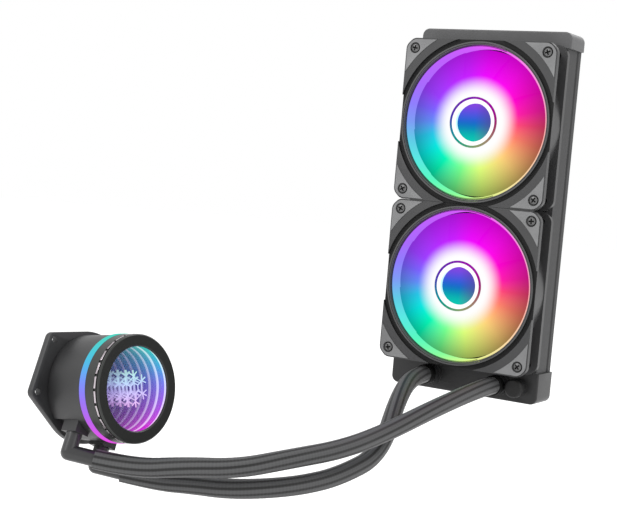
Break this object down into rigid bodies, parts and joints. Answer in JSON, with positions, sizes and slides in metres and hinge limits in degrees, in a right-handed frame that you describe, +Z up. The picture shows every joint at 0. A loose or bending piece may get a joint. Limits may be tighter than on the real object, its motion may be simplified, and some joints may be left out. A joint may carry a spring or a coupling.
{
  "type": "all in one processor liquid cooler",
  "caption": "Closed-loop processor cooler: slim radiator with two lit fans in line, two braided hoses and a round pump head with a lit mirror window.",
  "frame": {"origin": "centre of the four outer case screw holes on the radiator's rear face", "axes": "+Y out of the rear face, +Z up the radiator away from its hose ports, +X to the right seen from the fans"},
  "size_m": [0.2284, 0.3229, 0.3277],
  "materials": {
    "tank_paint": "satin black powder coat",
    "core_paint": "satin black paint",
    "fan_plastic": "fine satin black",
    "pad_rubber": "smooth grey",
    "screw_steel": "satin",
    "blade_plastic": "clear, lit from its rim and hub",
    "light_plastic": "clear diffuser, lit",
    "mirror_film": "polished",
    "window_glass": "half silvered",
    "pump_plastic": "satin black",
    "bezel_plastic": "soft gloss black",
    "ring_paint": "satin black",
    "fitting_paint": "gloss black",
    "copper": "ground copper",
    "seal_rubber": "matt black",
    "hose_sleeve": "fine braid over a rubber tube",
    "board": "lacquered",
    "magnet": "sintered",
    "stator_iron": "laminated",
    "bearing_bronze": "sintered",
    "ceramic": "polished ceramic"
  },
  "bodies": {
    "cooler": {"back_mirror": "mirror_film", "bezel": "bezel_plastic", "bottom_header": "tank_paint", "bottom_tank": "tank_paint", "cold_plate": "copper", "cold_plate_gasket": "seal_rubber", "cold_plate_screws": "screw_steel", "elbow_left": "fitting_paint", "elbow_right": "fitting_paint", "elbow_seals": "seal_rubber", "emblem": "light_plastic", "fan_bottom_bearing": "bearing_bronze", "fan_bottom_board": "board", "fan_bottom_frame": "fan_plastic", "fan_bottom_light_ring": "light_plastic", "fan_bottom_stator": "stator_iron", "fan_screws": "screw_steel", "fan_top_bearing": "bearing_bronze", "fan_top_board": "board", "fan_top_frame": "fan_plastic", "fan_top_light_ring": "light_plastic", "fan_top_stator": "stator_iron", "fin_strips": "core_paint", "flat_tubes": "core_paint", "front_pads": "pad_rubber", "hose_left": "hose_sleeve", "hose_right": "hose_sleeve", "impeller_pin": "ceramic", "light_band": "light_plastic", "mirror_light": "light_plastic", "motor_can": "stator_iron", "mounting_ring": "ring_paint", "outer_shell": "pump_plastic", "plug_seal": "seal_rubber", "port_left": "fitting_paint", "port_right": "fitting_paint", "pump_block": "pump_plastic", "pump_board": "board", "pump_stator": "stator_iron", "rear_pads": "pad_rubber", "refill_plug": "fitting_paint", "side_frame_left": "tank_paint", "side_frame_right": "tank_paint", "top_header": "tank_paint", "top_tank": "tank_paint", "window_glass": "window_glass"},
    "fan_top_rotor": {"fan_top_rotor": "blade_plastic", "fan_top_hub_light": "light_plastic", "fan_top_hub_mirror": "mirror_film", "fan_top_magnet": "magnet", "fan_top_shaft": "screw_steel"},
    "fan_bottom_rotor": {"fan_bottom_rotor": "blade_plastic", "fan_bottom_hub_light": "light_plastic", "fan_bottom_hub_mirror": "mirror_film", "fan_bottom_magnet": "magnet", "fan_bottom_shaft": "screw_steel"},
    "impeller": {"impeller": "ceramic", "impeller_magnet": "magnet"}
  },
  "joints": [
    {"name": "fan_top_spin", "type": "hinge", "parent": "cooler", "child": "fan_top_rotor", "pos_m": [0, -0.04, 0.06], "axis": [0, -1, 0], "continuous": true},
    {"name": "fan_bottom_spin", "type": "hinge", "parent": "cooler", "child": "fan_bottom_rotor", "pos_m": [0, -0.04, -0.06], "axis": [0, -1, 0], "continuous": true},
    {"name": "impeller_spin", "type": "hinge", "parent": "cooler", "child": "impeller", "pos_m": [-0.163, -0.275, -0.1405], "axis": [0.9827, -0.112, 0.1478], "continuous": true}
  ]
}
